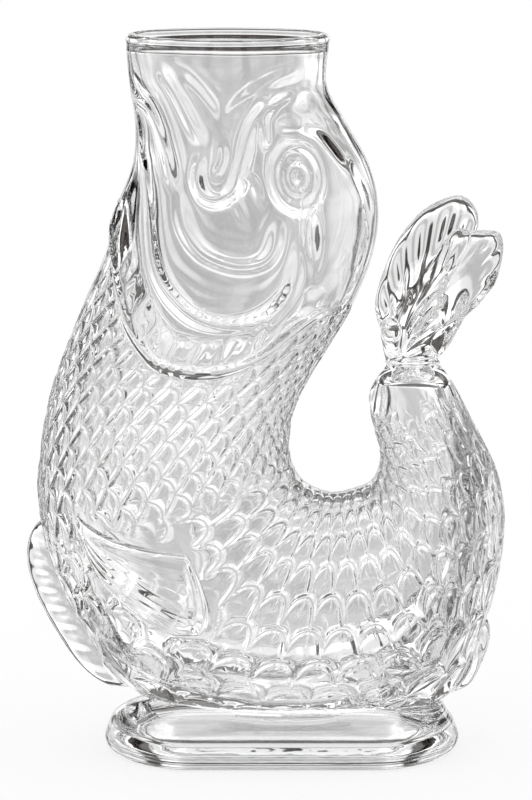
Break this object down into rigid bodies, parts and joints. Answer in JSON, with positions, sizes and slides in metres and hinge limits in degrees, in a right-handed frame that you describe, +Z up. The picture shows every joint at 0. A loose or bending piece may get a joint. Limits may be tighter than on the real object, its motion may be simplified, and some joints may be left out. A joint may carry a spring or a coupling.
{
  "type": "gurgle jug",
  "caption": "Clear glass gurgle jug shaped as an upright scaled fish, with a round open mouth, a curled tail with a fluted fin for a handle, side fins and an oval foot.",
  "frame": {"origin": "centre of the foot's flat underside, on the table", "axes": "+Z up through the mouth; +X from the belly side towards the curled tail; -Y towards the fish's left side"},
  "size_m": [0.1741, 0.117, 0.261],
  "materials": {
    "clear_glass": "polished clear soda-lime glass"
  },
  "bodies": {
    "root": {"body_shell": "clear_glass", "lip_ring": "clear_glass", "foot": "clear_glass", "tail_fin": "clear_glass", "left_gill_cover": "clear_glass", "right_gill_cover": "clear_glass", "left_cheek": "clear_glass", "right_cheek": "clear_glass", "left_eye": "clear_glass", "right_eye": "clear_glass", "left_jaw_fold": "clear_glass", "right_jaw_fold": "clear_glass", "left_lip_fold": "clear_glass", "right_lip_fold": "clear_glass", "left_mouth_corner": "clear_glass", "right_mouth_corner": "clear_glass", "left_nose_fold": "clear_glass", "right_nose_fold": "clear_glass", "left_brow": "clear_glass", "right_brow": "clear_glass", "left_side_fin": "clear_glass", "right_side_fin": "clear_glass", "belly_fin": "clear_glass", "rear_fin": "clear_glass"}
  },
  "joints": []
}
